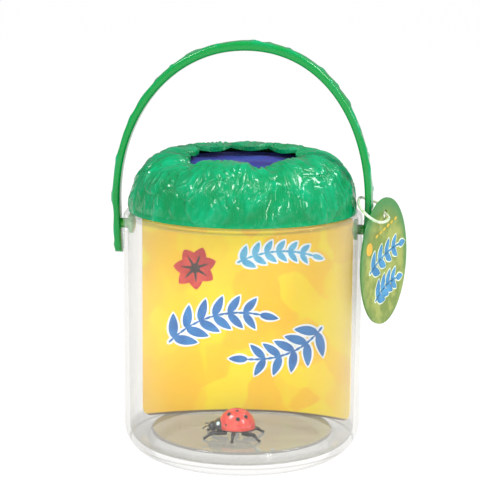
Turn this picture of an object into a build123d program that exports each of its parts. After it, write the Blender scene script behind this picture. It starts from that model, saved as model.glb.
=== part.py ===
from build123d import *
import os
from math import asin, cos, pi, radians, sin, sqrt, tan

# Ventilated insect jar, in millimetres. Z is up, X runs through the handle's pivots,
# -Y is the front, and the origin is the centre of the foot, on the table.

# Jar
jar_radius = 60.0
jar_corner = 16.0           # outer radius between wall and foot
wall_low = 3.0              # wall just above the foot
wall_high = 1.9             # wall just under the shoulder
shoulder_z = 123.6          # top of the shoulder
shoulder_round = 2.4
shoulder_thick = 2.4
neck_height = 10.9
neck_wall = 2.2
floor_z = 11.5              # top of the raised floor
gutter_width = 11.1         # from the raised floor to the wall
floor_round = 1.5
floor_thick = 3.5
floor_slope = 1.7           # how far the raised floor's side spreads downwards
gutter_z = 6.6              # lowest point inside, in the gutter around the floor
gutter_round = 7.0
ceiling_round = 1.2         # under the shoulder
foot_width = 2.0            # flat ring that the jar stands on
foot_round = 0.7
recess_slope = 1.5
recess_round = 2.0
mouth_round = 0.8           # where the neck starts inside
neck_rim_round = 0.5
neck_foot_round = 0.6

# Lid
lid_inset = 2.6             # from the jar's side in to the lid's
lid_gap = 0.9               # from the shoulder up to the lid's lower edge
lid_height = 29.0
lid_wall = 2.0
lid_skirt_wall = 2.8
lid_bore_height = 8.5
lid_bore_step = 1.2
lid_crest_radius = 36.0     # where the dome is highest
dome_arcs = 3               # arcs that the dome's outline is drawn with
lip_drop = 2.3              # how far the dome curls down to the leaf tips
vent_notch_radius = 29.4    # notches between the leaf tips around the vent
vent_tip_radius = 26.2      # leaf tips
lip_spare = 1.2             # lip beyond the leaf tips before the vent is cut
notch_angles = [-155, -126, -76, -55, -10, 32, 71, 110, 147, 178]

# Leaves in relief on the lid
leaf_bed = 0.9              # from the lid's skin down to the bed between the leaves
leaf_step = 0.35            # from one leaf's face down to its neighbour's
leaf_sink = 0.4             # how far a leaf is sunk in the bed
leaf_reach = 7.0            # how far its outline is drawn through the curved dome
foot_band = 1.4             # plain band at the lid's foot
rim_leaf_slope = 6.0        # degrees down the dome from its crest
rim_leaf_half = 12.0
leaf_rings = [              # degrees down the dome, leaves, half length, half width, lean in degrees
    (35.0, 12, 13.5, 12.0, 24.0),
    (66.0, 12, 12.5, 12.5, 32.0),
]
ring_step = 0.12            # from one ring's leaves down to the next ring's

# Screw thread between neck and lid
thread_lead = 8.0           # rise for one turn
thread_starts = 2
thread_start = 2.7          # lowest ridge above the shoulder
thread_depth = 1.1
thread_base = 1.8
thread_crest = 0.9
thread_root = 0.4           # how far a ridge is sunk in its wall
neck_thread_turn = 220.0    # degrees
lid_thread_turn = 60.0
lid_thread_angle = 150.0
crest_gap = 0.9             # from the neck's ridges to the lid's wall
root_gap = 0.5              # from the lid's ridges to the neck's wall

# Mesh, its frame and its retaining ring
mesh_thick = 0.5
mesh_radius = 35.0
mesh_drop = 5.8             # mesh top, below the lid's crest
mesh_seat = 3.5             # width of the ring that the mesh is held on
frame_wall = 1.4
frame_flange = 1.4
frame_spigot = 2.0
spigot_clearance = 0.15
flange_clearance = 0.4      # between the flange and the lid's wall
flange_width = 2.4          # from the frame's cone to the flange's edge
retainer_height = 1.3
stop_gap = 0.3              # between the flange and the stop in the lid
stop_height = 1.8
stop_width = 1.6

# Handle
pivot_drop = 8.0            # from the shoulder down to the pivots
widest_rise = 11.4          # from the pivots up to where the arch is widest
arm_gap = 2.6               # from the jar to the arm at that height
handle_rise = 79.6          # from there to the middle of the grip
arm_thick = 2.6
grip_thick = 4.2
handle_width = 8.5
tail_length = 15.0          # arm below the pivot
tail_lean = 1.0             # how far the tail leans in towards the jar
tail_round = 4.0
handle_edge_round = 0.8
pin_radius = 2.5
pin_clearance = 0.05
pin_root = 1.0              # how far the pin is sunk in the arm
boss_radius = 4.6
boss_height = 0.7
button_radius = 5.2
button_rim = 1.6
button_dome = 1.3
button_gap = 0.2
button_fit = 0.02

# Printed card
card_turn = 7.2             # degrees about Z
card_shift = 1.0
card_back = 17.0            # its edges lie this far behind the axis
card_side_gap = 1.86        # from its side edges to the wall, across the jar
card_bow = 10.0
card_thick = 0.6
card_top_gap = 2.6          # from its top to the underside of the shoulder
card_foot_round = 5.0
card_top_round = 2.0

# Ladybug figure
bug_x = 0.0
bug_y = -18.6
bug_heading = 180.0
bug_length = 18.6
bug_width = 14.8
bug_clear = 3.6             # belly line above the floor
bug_tuck = 1.3              # from the belly line up to the widest level
bug_belly = 1.8
belly_inset = 1.0
thorax_radius = 4.2
thorax_forward = 0.4
head_radius = 2.5
leg_radius = 0.6
leg_sink = 0.4              # from the belly's underside up to the hip
knee_height = 3.0
knee_place = 0.55           # share of the leg's reach
leg_feet = [(16.0, 7.5), (1.0, 12.0), (-12.5, 8.5)]
leg_hips = [(5.0, 2.3), (1.0, 2.5), (-3.0, 2.3)]

# Hang tag, its loop and its lock
tag_x = 70.8
tag_y = 0.9
tag_z = 100.0
tag_turn = 72.2             # direction of its width, from X
tag_width = 52.0
tag_height = 63.8
tag_thick = 0.9
tag_hole_radius = 2.2
tag_hole_drop = 8.1         # hole centre below the tag's top
loop_diameter = 1.4
lock_radius = 1.5
lock_overlap = 0.4          # how far the loop's ends are pressed into the lock
loop_route = [
    (69.6, 4.0, 124.9),
    (71.4, 0.4, 123.7),
    (73.6, -3.6, 122.5),
    (72.0, -9.6, 121.7),
    (69.8, -15.0, 122.1),
    (67.4, -19.2, 123.4),
    (64.1, -20.4, 125.1),
    (61.5, -17.0, 127.0),
    (60.9, -11.2, 129.0),
    (61.2, -4.8, 130.3),
    (61.3, 1.2, 130.4),
    (61.4, 6.0, 129.9),
    (61.7, 10.0, 129.1),
    (63.7, 12.3, 128.3),
    (66.6, 12.2, 127.5),
    (68.5, 10.0, 126.7),
    (68.9, 7.6, 126.0),
]

# Places that follow from the sizes above
ceiling_z = shoulder_z - shoulder_thick
foot_inner_radius = jar_radius - jar_corner - foot_width
lid_radius = jar_radius - lid_inset
lip_round = ((lid_crest_radius - vent_tip_radius) ** 2 + lip_drop ** 2) / (2 * lip_drop)
pivot_z = shoulder_z - pivot_drop
handle_centre_z = pivot_z + widest_rise
neck_top = shoulder_z + neck_height
lid_bottom = shoulder_z + lid_gap
lid_top = lid_bottom + lid_height
lid_bore = lid_radius - lid_skirt_wall
neck_outer = lid_bore - crest_gap - thread_depth
neck_inner = neck_outer - neck_wall
stop_wall = lid_bore - lid_bore_step
mesh_top = lid_top - mesh_drop
mesh_low = mesh_top - mesh_thick
flange_top = neck_top + frame_flange
flange_outer = stop_wall - flange_clearance
stop_z = flange_top + stop_gap
arm_inner = jar_radius + arm_gap
arm_outer = arm_inner + arm_thick


def jar_inner(z):
    """Inside radius of the jar's tapered wall at a height."""
    share = (z - gutter_z) / (ceiling_z - gutter_z)
    return jar_radius - wall_low + share * (wall_low - wall_high)


def dome_radius(z, depth):
    """Radius of the lid's dome at a height, at a depth under its skin."""
    across = lid_radius - lid_crest_radius - depth
    return lid_crest_radius + across * sqrt(1 - ((z - lid_bottom) / (lid_height - depth)) ** 2)


def dome_line(z, depth):
    """The lid's dome from a height up to its crest, at a depth under its skin, drawn with arcs."""
    across, rise = lid_radius - lid_crest_radius - depth, lid_height - depth
    start = asin((z - lid_bottom) / rise)
    turns = [start + (pi / 2 - start) * i / (2 * dome_arcs) for i in range(2 * dome_arcs + 1)]
    points = [(lid_crest_radius + across * cos(turn), lid_bottom + rise * sin(turn)) for turn in turns]
    return Compound(children=[ThreePointArc(*points[i:i + 3]) for i in range(0, 2 * dome_arcs, 2)])


def lip_point(radius, depth):
    """A point on the lid's curled lip, at a depth under its skin."""
    rise = sqrt((lip_round - depth) ** 2 - (lid_crest_radius - radius) ** 2)
    return (radius, lid_top - lip_round + rise)


def turned(*lines):
    """The solid turned about Z by a closed outline of radius and height."""
    edges = [edge for line in lines for edge in line.edges()]
    return revolve(Plane.XZ * make_face(edges), axis=Axis.Z)


def ring(inner, outer, low, high):
    """A flat ring about Z."""
    return Pos(0, 0, low) * extrude(Circle(outer) - Circle(inner), amount=high - low)


def thread_ridges(radius, depth, side, start_z, turn, first_angle):
    """One ridge for each start, on the outside (side 1) or the inside (side -1) of a wall."""
    path = Helix(pitch=thread_lead, height=thread_lead * turn / 360, radius=radius)
    section = Plane(origin=path @ 0, x_dir=(1, 0, 0), z_dir=path % 0) * make_face(Polyline(
        (-side * thread_root, thread_base / 2),
        (-side * thread_root, -thread_base / 2),
        (side * depth, -thread_crest / 2),
        (side * depth, thread_crest / 2),
        close=True))
    ridge = sweep(section, path=path, is_frenet=True)
    step = 360 / thread_starts
    return [Pos(0, 0, start_z) * Rot(0, 0, first_angle + i * step) * ridge for i in range(thread_starts)]


def pivot_rod(side, radius, start, end):
    """A cylinder along the pivot line, between two distances from the jar's axis."""
    rod = Cylinder(radius, end - start, align=(Align.CENTER, Align.CENTER, Align.MIN))
    return Pos(side * start, 0, pivot_z) * Rot(0, 90 * side, 0) * rod


def make_jar():
    recess_z = floor_z - floor_thick
    floor_radius = jar_inner(gutter_z) - gutter_width
    wall = FilletPolyline(
        (0, floor_z),
        (floor_radius, floor_z),
        (floor_radius + floor_slope, gutter_z),
        (jar_inner(gutter_z), gutter_z),
        (jar_inner(ceiling_z), ceiling_z),
        (neck_inner, ceiling_z),
        (neck_inner, neck_top),
        (neck_outer, neck_top),
        (neck_outer, shoulder_z),
        (jar_radius, shoulder_z),
        (jar_radius, 0),
        (foot_inner_radius, 0),
        (foot_inner_radius - recess_slope, recess_z),
        (0, recess_z),
        radius=[floor_round, floor_round, gutter_round, ceiling_round, mouth_round, neck_rim_round,
                neck_rim_round, neck_foot_round, shoulder_round, jar_corner, foot_round, recess_round])
    jar = turned(wall, Line((0, recess_z), (0, floor_z)))
    for ridge in thread_ridges(neck_outer, thread_depth, 1, shoulder_z + thread_start, neck_thread_turn, 0):
        jar += ridge
    boss_start = sqrt(jar_radius ** 2 - boss_radius ** 2) - 0.5
    boss_end = jar_radius + boss_height
    for side in (-1, 1):
        jar += pivot_rod(side, boss_radius, boss_start, boss_end)
        jar -= pivot_rod(side, pin_radius + pin_clearance, jar_inner(pivot_z) - 1, boss_end + 1)
    return jar


def vent_outline():
    """The leaf-edged hole in the lid: one arc for each leaf tip between two notches."""
    arcs = []
    for i, start in enumerate(notch_angles):
        end = notch_angles[(i + 1) % len(notch_angles)]
        if end < start:
            end += 360
        middle = radians(start + end) / 2
        points = [(vent_notch_radius, radians(start)), (vent_tip_radius, middle),
                  (vent_notch_radius, radians(end))]
        arcs.append(ThreePointArc(*[(r * cos(a), r * sin(a)) for r, a in points]))
    return make_face(Curve() + arcs)


def lip_line(depth):
    """The curled lip, from the crest to where the vent is cut, at a depth under the lid's skin."""
    cut = vent_tip_radius - lip_spare
    half = (cut + lid_crest_radius) / 2
    return ThreePointArc((lid_crest_radius, lid_top - depth), lip_point(half, depth), lip_point(cut, depth))


def leaf_layer(depth):
    """The layer of the dome and lip that leaves of one level fill, from their face down into the bed."""
    low = lid_bottom + foot_band / 2
    floor = leaf_bed + leaf_sink + depth / 2
    cut = vent_tip_radius - lip_spare
    lip_edge = Line(lip_point(cut, depth), lip_point(cut, floor))
    foot_edge = Line((dome_radius(low, floor), low), (dome_radius(low, depth), low))
    return turned(dome_line(low, depth), lip_line(depth), lip_edge, lip_line(floor), dome_line(low, floor),
                  foot_edge)


def leaf_places():
    """Turn, slope, half length, half width, lean and depth of each leaf: the rim's, then the rings'."""
    leaves = []
    for i, start in enumerate(notch_angles):
        gap = (notch_angles[(i + 1) % len(notch_angles)] - start) % 360
        half_width = radians(gap) * lid_crest_radius / 2
        leaves.append((start + gap / 2, rim_leaf_slope, rim_leaf_half, half_width, 0, leaf_step * (i % 2)))
    for row, (slope, count, half_length, half_width, swing) in enumerate(leaf_rings, start=1):
        for i in range(count):
            turn = 360 * (i + row / 3) / count
            depth = row * ring_step + leaf_step * (i % 2)
            leaves.append((turn, slope, half_length, half_width, swing * sin(2.4 * i + slope), depth))
    return leaves


def leaf_outline(turn, slope, half_length, half_width, lean):
    """A leaf between two arcs, on the plane that touches the dome at its middle."""
    across = lid_radius - lid_crest_radius
    down = radians(slope)
    middle = (lid_crest_radius + across * sin(down), 0, lid_bottom + lid_height * cos(down))
    outwards = Vector(sin(down) / across, 0, cos(down) / lid_height).normalized()
    plane = Plane(origin=middle, x_dir=(outwards.Z, 0, -outwards.X), z_dir=outwards)
    tips = [(-half_length, 0), (half_length, 0)]
    leaf = make_face([ThreePointArc(tips[0], (0, side * half_width), tips[1]) for side in (-1, 1)])
    return Rot(0, 0, turn) * (plane * (Rot(0, 0, lean) * leaf))


def make_leaves():
    layers = {depth: leaf_layer(depth) for depth in {place[-1] for place in leaf_places()}}
    return [extrude(leaf_outline(*place), amount=leaf_reach, both=True) & layers[depth]
            for *place, depth in leaf_places()]


def make_lid():
    cut = vent_tip_radius - lip_spare
    stop_top = stop_z + stop_height
    bore_top = lid_bottom + lid_bore_height
    band_top = lid_bottom + foot_band
    inside = Polyline(
        (dome_radius(band_top, leaf_bed), band_top),
        (lid_radius, band_top),
        (lid_radius, lid_bottom),
        (lid_bore, lid_bottom),
        (lid_bore, bore_top),
        (stop_wall, bore_top + lid_bore_step),
        (stop_wall, stop_z),
        (stop_wall - stop_width, stop_z),
        (stop_wall - stop_width, stop_top),
        (dome_radius(stop_top, lid_wall), stop_top))
    lip_edge = Line(lip_point(cut, lid_wall), lip_point(cut, leaf_bed))
    lid = turned(inside, dome_line(stop_top, lid_wall), lip_line(lid_wall), lip_edge, lip_line(leaf_bed),
                 dome_line(band_top, leaf_bed))
    lid += make_leaves()
    lid -= Pos(0, 0, lid_top - lid_height / 2) * extrude(vent_outline(), amount=lid_height)
    pitch = thread_lead / thread_starts
    ridge_z = shoulder_z + thread_start + thread_lead * lid_thread_angle / 360 - pitch / 2
    depth = thread_depth + crest_gap - root_gap
    for ridge in thread_ridges(lid_bore, depth, -1, ridge_z, lid_thread_turn, lid_thread_angle):
        lid += ridge
    return lid


def make_mesh_frame():
    spigot = neck_inner - spigot_clearance
    cone_low = flange_outer - flange_width
    slope = (cone_low - mesh_radius - 1) / (mesh_low - flange_top)
    across = frame_wall * sqrt(1 + slope ** 2)
    seat_inner = mesh_radius - mesh_seat
    under_seat = mesh_low - frame_wall
    return turned(Polyline(
        (cone_low - across, neck_top - frame_spigot),
        (spigot, neck_top - frame_spigot),
        (spigot, neck_top),
        (flange_outer, neck_top),
        (flange_outer, flange_top),
        (cone_low, flange_top),
        (mesh_radius + 1, mesh_low),
        (seat_inner, mesh_low),
        (seat_inner, under_seat),
        (mesh_radius + 1 + frame_wall * slope - across, under_seat),
        (cone_low - across, flange_top),
        close=True))


def make_vent_mesh():
    return Pos(0, 0, mesh_low) * extrude(Circle(mesh_radius), amount=mesh_thick)


def make_mesh_retainer():
    return ring(mesh_radius - mesh_seat, mesh_radius, mesh_top, mesh_top + retainer_height)


def button_face():
    """Distance from the axis to a button's face against the wall."""
    return sqrt(jar_inner(pivot_z) ** 2 - button_radius ** 2) - button_gap


def make_handle():
    tail_z = pivot_z - tail_length
    lines = [
        EllipticalCenterArc((0, handle_centre_z), arm_outer, handle_rise + grip_thick / 2,
                            start_angle=0, arc_size=180),
        EllipticalCenterArc((0, handle_centre_z), arm_inner, handle_rise - grip_thick / 2,
                            start_angle=0, arc_size=180),
    ]
    for side in (-1, 1):
        lines.append(Polyline(
            (side * arm_outer, handle_centre_z),
            (side * (arm_outer - tail_lean), tail_z),
            (side * (arm_inner - tail_lean), tail_z),
            (side * arm_inner, handle_centre_z)))
    handle = extrude(Plane.XZ * make_face(Curve() + lines), amount=handle_width / 2, both=True)
    ends = handle.edges().filter_by(Axis.X).group_by(Axis.Z)[0]
    handle = fillet(ends, tail_round)
    rims = [edge for edge in handle.edges() if abs(edge.center().Y) > handle_width / 4]
    rims = [edge for edge in rims if edge.length > tail_round * 2]
    handle = fillet(rims, handle_edge_round)
    for side in (-1, 1):
        handle += pivot_rod(side, pin_radius, button_face() - button_rim, arm_inner + pin_root)
    return handle


def make_pivot_button(side):
    """A domed button with a blind hole for the pin, drawn about X and put on its pivot."""
    face = button_face()
    inner = face - button_rim
    hole = pin_radius + button_fit
    crown_radius = (button_radius ** 2 + button_dome ** 2) / (2 * button_dome)
    crown_centre = inner - button_dome + crown_radius
    half = asin(button_radius / crown_radius) / 2
    crown_middle = (crown_centre - crown_radius * cos(half), crown_radius * sin(half))
    rim = Polyline((inner, 0), (inner, hole), (face, hole), (face, button_radius), (inner, button_radius))
    crown = ThreePointArc((inner, button_radius), crown_middle, (inner - button_dome, 0))
    base = Line((inner - button_dome, 0), (inner, 0))
    button = revolve(Plane.XZ * make_face([*rim.edges(), crown, base]), axis=Axis.X)
    return Pos(0, 0, pivot_z) * Rot(0, 0, 0 if side > 0 else 180) * button


def make_card():
    half = sqrt(jar_inner(floor_z) ** 2 - card_back ** 2) - card_side_gap
    bend = (half ** 2 + card_bow ** 2) / (2 * card_bow)
    centre_y = card_back + card_bow - bend
    spread = asin(half / bend)
    arcs = []
    for radius in (bend - card_thick / 2, bend + card_thick / 2):
        angles = (pi / 2 - spread, pi / 2, pi / 2 + spread)
        arcs.append([(radius * cos(a), centre_y + radius * sin(a)) for a in angles])
    inner, outer = arcs
    plan = make_face(Curve() + [ThreePointArc(*inner), ThreePointArc(*outer),
                                Line(inner[0], outer[0]), Line(inner[2], outer[2])])
    card = Pos(0, 0, floor_z) * extrude(plan, amount=ceiling_z - card_top_gap - floor_z)
    corners = card.edges().filter_by(lambda edge: edge.length < 2 * card_thick).group_by(Axis.Z)
    card = fillet(corners[0], card_foot_round)
    corners = card.edges().filter_by(lambda edge: edge.length < 2 * card_thick).group_by(Axis.Z)
    card = fillet(corners[-1], card_top_round)
    return Rot(0, 0, card_turn) * Pos(card_shift, 0, 0) * card


def place_bug(shape):
    return Pos(bug_x, bug_y, floor_z) * Rot(0, 0, bug_heading) * shape


def make_dome():
    """The wing covers: a spheroid, cut off flat at the belly line."""
    spheroid = scale(Sphere(bug_width / 2), by=(bug_length / bug_width, 1, 1))
    raised = Pos(0, 0, bug_clear + bug_tuck) * spheroid
    return split(raised, Plane.XY.offset(bug_clear), keep=Keep.TOP)


def make_bug_shell():
    return place_bug(make_dome())


def leg(hip, foot):
    """A bent leg: from under the belly out to the knee, then down to the foot on the floor."""
    hip_point = Vector(hip[0], hip[1], bug_clear - bug_belly + leg_sink)
    foot_point = Vector(foot[0], foot[1], leg_radius)
    knee = hip_point + (foot_point - hip_point) * knee_place
    knee.Z = knee_height
    bones = []
    for start, end in ((hip_point, knee), (knee, foot_point)):
        rod = Cylinder(leg_radius, (end - start).length, align=(Align.CENTER, Align.CENTER, Align.MIN))
        bones.append(Plane(origin=start, z_dir=end - start) * rod)
    return bones + [Pos(knee) * Sphere(leg_radius), Pos(foot_point) * Sphere(leg_radius)]


def make_bug_body():
    oval = Ellipse(bug_length / 2 - belly_inset, bug_width / 2 - belly_inset)
    body = Pos(0, 0, bug_clear - bug_belly) * extrude(oval, amount=bug_belly)
    front = bug_length / 2
    body += Pos(front + thorax_forward, 0, bug_clear + bug_tuck) * Sphere(thorax_radius) - make_dome()
    body += Pos(front + thorax_forward + thorax_radius, 0, bug_clear) * Sphere(head_radius)
    for hip, foot in zip(leg_hips, leg_feet):
        for side in (-1, 1):
            for bone in leg((hip[0], side * hip[1]), (foot[0], side * foot[1])):
                body += bone
    return place_bug(body)


def make_tag():
    width_dir = Vector(cos(radians(tag_turn)), sin(radians(tag_turn)), 0)
    plane = Plane(origin=(tag_x, tag_y, tag_z), x_dir=width_dir, z_dir=(width_dir.Y, -width_dir.X, 0))
    hole = Pos(0, tag_height / 2 - tag_hole_drop) * Circle(tag_hole_radius)
    face = plane * (Ellipse(tag_width / 2, tag_height / 2) - hole)
    return extrude(face, amount=tag_thick / 2, both=True)


def make_tag_loop():
    points = [Vector(*point) for point in loop_route]
    runs = [b - a for a, b in zip(points, points[1:])]
    radii = []
    for before, after in zip(runs, runs[1:]):
        turn = radians(before.get_angle(after))
        radii.append(0.45 * min(before.length, after.length) / tan(turn / 2))
    print("tag loop radii:", [round(radius, 1) for radius in radii])
    path = FilletPolyline(*points, radius=radii)
    section = Plane(origin=path @ 0, z_dir=path % 0) * Circle(loop_diameter / 2)
    tube = sweep(section, path=path)
    print("tag loop length:", round(path.length, 1), "volume over section times length:",
          round(tube.volume / (pi * loop_diameter ** 2 / 4 * path.length), 4))
    return tube


def lock_ends():
    """Ends of the lock, a little past the loop's last and first points."""
    last, first = Vector(*loop_route[-1]), Vector(*loop_route[0])
    step = (first - last).normalized() * lock_overlap
    return last - step, first + step


def make_tag_lock():
    start, end = lock_ends()
    barrel = Cylinder(lock_radius, (end - start).length, align=(Align.CENTER, Align.CENTER, Align.MIN))
    barrel = fillet(barrel.edges().filter_by(GeomType.CIRCLE), 0.3)
    return Plane(origin=start, z_dir=end - start) * barrel


parts = {
    "jar_body": make_jar(),
    "lid_shell": make_lid(),
    "mesh_frame": make_mesh_frame(),
    "vent_mesh": make_vent_mesh(),
    "mesh_retainer": make_mesh_retainer(),
    "handle": make_handle(),
    "pivot_button_left": make_pivot_button(-1),
    "pivot_button_right": make_pivot_button(1),
    "display_card": make_card(),
    "ladybug_shell": make_bug_shell(),
    "ladybug_body": make_bug_body(),
    "hang_tag": make_tag(),
    "tag_loop": make_tag_loop(),
    "tag_lock": make_tag_lock(),
}

os.makedirs("parts", exist_ok=True)
for name, shape in parts.items():
    export_step(shape, f"parts/{name}.step")
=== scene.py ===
from math import asin, atan2, cos, pi, radians, sin, sqrt, tan
import random

import bpy
import numpy as np
from mathutils import Matrix, Vector


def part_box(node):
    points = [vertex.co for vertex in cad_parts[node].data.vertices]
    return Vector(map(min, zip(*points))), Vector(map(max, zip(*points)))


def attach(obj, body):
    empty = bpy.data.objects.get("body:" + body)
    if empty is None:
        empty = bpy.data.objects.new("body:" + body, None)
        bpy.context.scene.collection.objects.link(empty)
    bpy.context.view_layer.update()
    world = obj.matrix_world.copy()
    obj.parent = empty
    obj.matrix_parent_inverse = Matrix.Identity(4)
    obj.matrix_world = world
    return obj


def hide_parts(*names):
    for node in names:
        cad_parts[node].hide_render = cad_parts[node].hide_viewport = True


# Ventilated insect jar: its looks, in metres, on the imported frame.

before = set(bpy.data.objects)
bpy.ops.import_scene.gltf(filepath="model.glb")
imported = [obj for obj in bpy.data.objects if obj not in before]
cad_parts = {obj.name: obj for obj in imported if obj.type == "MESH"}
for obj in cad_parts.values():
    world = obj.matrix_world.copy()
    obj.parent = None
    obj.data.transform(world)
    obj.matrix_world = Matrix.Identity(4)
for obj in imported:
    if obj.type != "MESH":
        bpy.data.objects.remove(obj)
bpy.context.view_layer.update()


# Sizes read from the frame, and those that only the looks need

lid_low, lid_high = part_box("lid_shell")
LID_RADIUS = lid_high.x
LID_BOTTOM = lid_low.z
LID_TOP = lid_high.z
LID_CREST_RADIUS = 0.036
LID_WALL = 0.002
LID_BORE = LID_RADIUS - 0.0028
LID_BORE_TOP = LID_BOTTOM + 0.0085
LIP_ROUND = 0.022
VENT_NOTCH_RADIUS = 0.0294
VENT_TIP_RADIUS = 0.0262
VENT_NOTCHES = [-155, -126, -76, -55, -10, 32, 71, 110, 147, 178]  # degrees
LID_COLUMNS = 600
LID_ROWS = 134
LID_INNER_ROWS = 14
LIP_SHARE = 0.2  # share of those rows on the lip
LEAF_BED = 0.0009  # from the lid's skin down to the bed between the leaves
LEAF_TOP = 0.0005  # highest places on them
LEAF_STEP = 0.00035  # from one leaf's face down to its neighbour's
RING_STEP = 0.00012
LEAF_REACH = 0.007
LEAF_LUCK = 11
RIM_LEAF_SLOPE = 6
RIM_LEAF_HALF = 0.012
LEAF_RINGS = [  # degrees down the dome, leaves, half length, half width, lean in degrees
    (35, 12, 0.0135, 0.012, 24),
    (66, 12, 0.0125, 0.0125, 32),
]
PAD_HEIGHT = 0.0007  # pads between a leaf's veins
CREASE_HEIGHT = 0.0002
FOLD_HEIGHT = 0.0007
LOW_LEAVES = [(-150, -118, 0.0036), (-76, -57, 0.0028)]
LOW_LEAF_REACH = (0.25, 0.7)  # shares of the way down the dome that they are low over
LOW_LEAF_INSIDE = 0.0022
LOW_LEAF_SPARE = 4  # degrees that they reach past their notches
LOW_LEAF_RAMP = 8  # degrees over which they rise to their neighbours
LEAF_EDGE = 0.002  # width of a leaf's rounded edge
LIP_LIFT = 0.0012  # how much less the lip curls down at the back

net_low, net_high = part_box("vent_mesh")
NET_RADIUS = net_high.x
NET_SEAT = 0.0035
NET_THICK = 0.0003
NET_SLACK = 0.0011

handle_low, handle_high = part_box("handle")
ARM_THICK = 0.0026
GRIP_THICK = 0.0042
ARM_OUTER = handle_high.x
ARM_INNER = ARM_OUTER - ARM_THICK
ARM_TAIL_LEAN = 0.001
ARM_TAIL_ROUND = 0.004
HANDLE_WIDTH = handle_high.y - handle_low.y
BARK_HEIGHT = 0.0011
BARK_KNOTS = 46
BARK_LENGTH = 0.31  # of strap that the knots are spread over
BARK_LUCK = 5
HANDLE_COLUMNS = 56
HANDLE_ROWS = 620
HANDLE_CENTRE = 0.127
HANDLE_RISE = handle_high.z - GRIP_THICK / 2 - HANDLE_CENTRE
STRAP_SWELL = 0.0009  # how much thicker than the plain strap the bark makes it, on its inside
STRAP_SHIFT = -0.0007
STRAP_LEAN = 0.0022  # how far the top of the arch leans to the tag's side
ARCH_POWER = 2.1  # 2 is an ellipse
PIVOT_HEIGHT = 0.1156
PIN_RADIUS = 0.0025
BUTTON_RIM = 0.0016

FLOOR = 0.0115  # top of the jar's raised floor
JAR_ZONES = {  # heights or radii over which each zone of the plastic starts or ends
    "floor_bottom": (0.01, 0.0106), "floor_top": (0.0118, 0.0124), "floor_side": (0.0455, 0.047),
    "rim_inside": (0.0446, 0.0458), "rim_outside": (0.0478, 0.049),
    "under_top": (0.01, 0.0104), "under_side": (0.045, 0.0465),
    "gutter_bottom": (0.0056, 0.0064), "gutter_top": (0.0108, 0.015),
    "gutter_inside": (0.045, 0.0466), "gutter_outside": (0.0568, 0.0576),
}
CARD_TURN = radians(7.2)
CARD_SHIFT = 0.001
CARD_HALF = 0.0526  # its left half, across; its right one is bowed more
CARD_BOW = 0.01
CARD_RIGHT_HALF = 0.0548
CARD_RIGHT_BOW = 0.0185
CARD_BACK = 0.017
CARD_THICK = 0.0006
CARD_FOOT_ROUND = 0.005
CARD_TOP_ROUND = 0.002
PRINT_LIFT = 0.00012  # how far each printed layer stands off the one under it
STEM_PIECES = 14
STEM_WIDTH = 0.0011

BUG_PLACE = Vector((0, -0.0186, FLOOR))
BUG_LENGTH = 0.0186
BUG_WIDTH = 0.0148
BUG_CLEAR = 0.0046
BUG_DOME = 0.0088
BUG_TUCK = 0.0013
BUG_HEADING = pi
BUG_SPOTS = [(0.0036, 0.0039, 0.00125), (-0.0004, 0.0026, 0.001), (-0.0012, 0.0061, 0.0013),
             (-0.005, 0.004, 0.0012), (0.0048, 0.0062, 0.0008)]  # ahead, aside, radius
BUG_LEGS = [((0.005, 0.0023), (0.016, 0.0075)), ((0.001, 0.0025), (0.001, 0.012)),
            ((-0.003, 0.0023), (-0.0125, 0.0085))]  # hip and foot, ahead and aside
BUG_LEG_SHAPE = [(0, 0.0022, 0.00081), (0.35, 0.0025, 0.001215), (0.62, 0.0032, 0.00108),
                 (0.8, 0.0018, 0.0007425), (0.92, 0.0007, 0.0006075), (1, 0.0006, 0.00081)]

TAG_PLACE = Vector((0.0708, 0.0009, 0.1))
TAG_TURN = radians(67.4)
TAG_WIDTH = 0.052
TAG_HEIGHT = 0.0638
TAG_THICK = 0.0009
TAG_HOLE_RADIUS = 0.0022
TAG_HOLE_DROP = 0.0081
TAG_FACE_ROWS = 10

LOOP_DIAMETER = 0.0014
LOOP_ROUTE = [
    (0.0696, 0.004, 0.1249), (0.0714, 0.0004, 0.1237), (0.0736, -0.0036, 0.1225),
    (0.072, -0.0096, 0.1217), (0.0698, -0.015, 0.1221), (0.0674, -0.0192, 0.1234),
    (0.0641, -0.02, 0.1256), (0.0606, -0.0172, 0.1282), (0.0584, -0.0122, 0.1306),
    (0.0582, -0.006, 0.1318), (0.0584, 0.0004, 0.1318), (0.059, 0.0056, 0.131),
    (0.0606, 0.0094, 0.1299), (0.0634, 0.0114, 0.1288), (0.0664, 0.0116, 0.1277),
    (0.0685, 0.01, 0.1267), (0.0689, 0.0076, 0.126),
]


# Materials

def math_node(operation, swapped=False):
    """A method that adds a Math node for an Amount and what it is worked out with."""
    def method(self, *others):
        values = (*others, self) if swapped else (self, *others)
        return self.finish.node("ShaderNodeMath", {"operation": operation}, dict(enumerate(values)))
    return method


class Amount:
    """A number that a material works out. An expression on it adds Math nodes."""

    def __init__(self, finish, socket):
        self.finish = finish
        self.socket = socket

    __add__ = math_node("ADD")
    __radd__ = math_node("ADD", swapped=True)
    __sub__ = math_node("SUBTRACT")
    __rsub__ = math_node("SUBTRACT", swapped=True)
    __mul__ = math_node("MULTIPLY")
    __rmul__ = math_node("MULTIPLY", swapped=True)
    __truediv__ = math_node("DIVIDE")
    __pow__ = math_node("POWER")
    __abs__ = math_node("ABSOLUTE")
    most = math_node("MAXIMUM")
    least = math_node("MINIMUM")
    sine = math_node("SINE")

    def step(self, low, high):
        """0 below low, 1 above high, and a smooth change between them."""
        return self.finish.node("ShaderNodeMapRange", {"interpolation_type": "SMOOTHSTEP"},
                                {"Value": self, "From Min": low, "From Max": high})


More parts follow.
